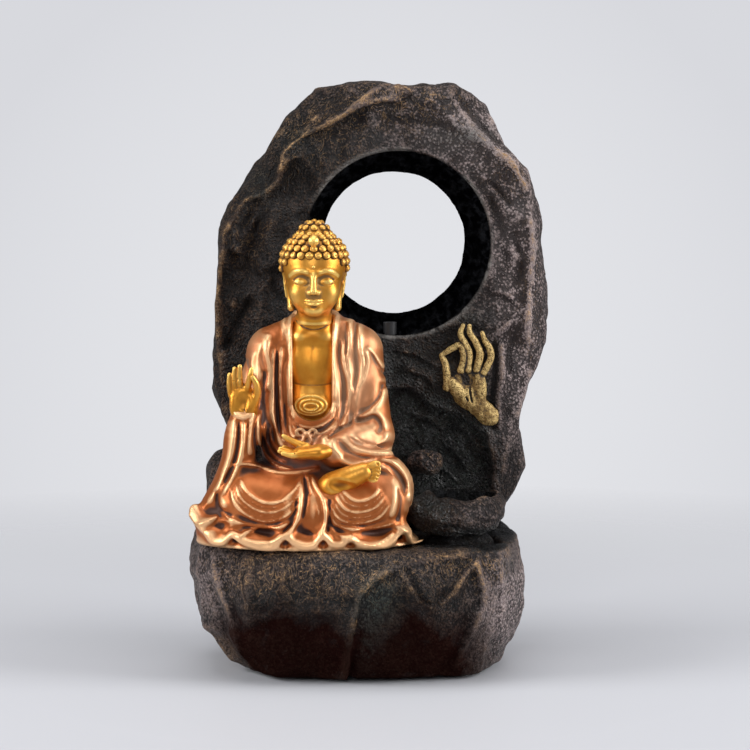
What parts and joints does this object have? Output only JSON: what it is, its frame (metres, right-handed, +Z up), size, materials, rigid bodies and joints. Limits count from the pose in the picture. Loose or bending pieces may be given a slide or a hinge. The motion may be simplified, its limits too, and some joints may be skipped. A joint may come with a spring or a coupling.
{
  "type": "tabletop water fountain",
  "caption": "Tabletop water fountain: stone-look base and upright with a round window, a seated robed figure, a water bowl and a submersible pump behind a rear hatch.",
  "frame": {"origin": "centre of the whole object's footprint box, on the surface it stands on", "axes": "+Z up, -Y is the front that the seated figure faces, +X towards the water bowl"},
  "size_m": [0.218, 0.15, 0.35],
  "materials": {
    "stone_resin": "rough cast resin, dark stone look with tan dry-brushed edges",
    "copper_paint": "satin metallic copper paint, dark wash in the folds",
    "gold_paint": "satin metallic gold paint, dark wash in the creases",
    "relief_gold": "dry-brushed antique gold over black",
    "black_rubber": "moulded",
    "pump_plastic": "moulded",
    "lamination": "stacked sheet",
    "winding": "enamelled copper wire",
    "epoxy": "cast",
    "magnet": "ground ferrite",
    "shaft_ceramic": "polished",
    "impeller_plastic": "moulded",
    "tube_pvc": "soft clear vinyl",
    "sponge_foam": "open-cell foam"
  },
  "bodies": {
    "fountain": {"base_front": "stone_resin", "base_left": "stone_resin", "base_right": "stone_resin", "base_rear": "stone_resin", "base_floor": "stone_resin", "base_deck": "stone_resin", "cable_grommet": "black_rubber", "foot_pads": "black_rubber", "upright_stone": "stone_resin", "side_boulder": "stone_resin", "wall_pebble": "stone_resin", "wall_hand": "relief_gold", "bowl_stand": "stone_resin", "water_bowl": "stone_resin", "robe": "copper_paint", "chest": "gold_paint", "head": "gold_paint", "raised_hand": "gold_paint", "lap_hand": "gold_paint", "crossed_foot": "gold_paint", "motor_block": "pump_plastic", "stator_core": "lamination", "coil_winding": "winding", "potting": "epoxy", "suction_cups": "black_rubber", "volute_cover": "pump_plastic", "chamber_seal": "black_rubber", "shaft_bushes": "black_rubber", "rotor_shaft": "shaft_ceramic", "lead_gland": "black_rubber", "riser_tube": "tube_pvc", "outlet_spout": "pump_plastic"},
    "rear_hatch": {"rear_cover": "stone_resin"},
    "rotor": {"rotor_magnet": "magnet", "impeller": "impeller_plastic"},
    "intake": {"intake_cover": "pump_plastic", "intake_skirt": "pump_plastic", "filter_sponge": "sponge_foam"},
    "flow_control": {"flow_slider": "pump_plastic"}
  },
  "joints": [
    {"name": "hatch_pull", "type": "slide", "parent": "fountain", "child": "rear_hatch", "axis": [0, 1, 0], "range_m": [0, 0.03]},
    {"name": "rotor_spin", "type": "hinge", "parent": "fountain", "child": "rotor", "pos_m": [0, 0.01, 0.027], "axis": [0, 1, 0], "continuous": true},
    {"name": "intake_pull", "type": "slide", "parent": "fountain", "child": "intake", "axis": [0, 1, 0], "range_m": [0, 0.008]},
    {"name": "flow_slide", "type": "slide", "parent": "intake", "child": "flow_control", "axis": [1, 0, 0], "range_m": [0, 0.012]}
  ]
}
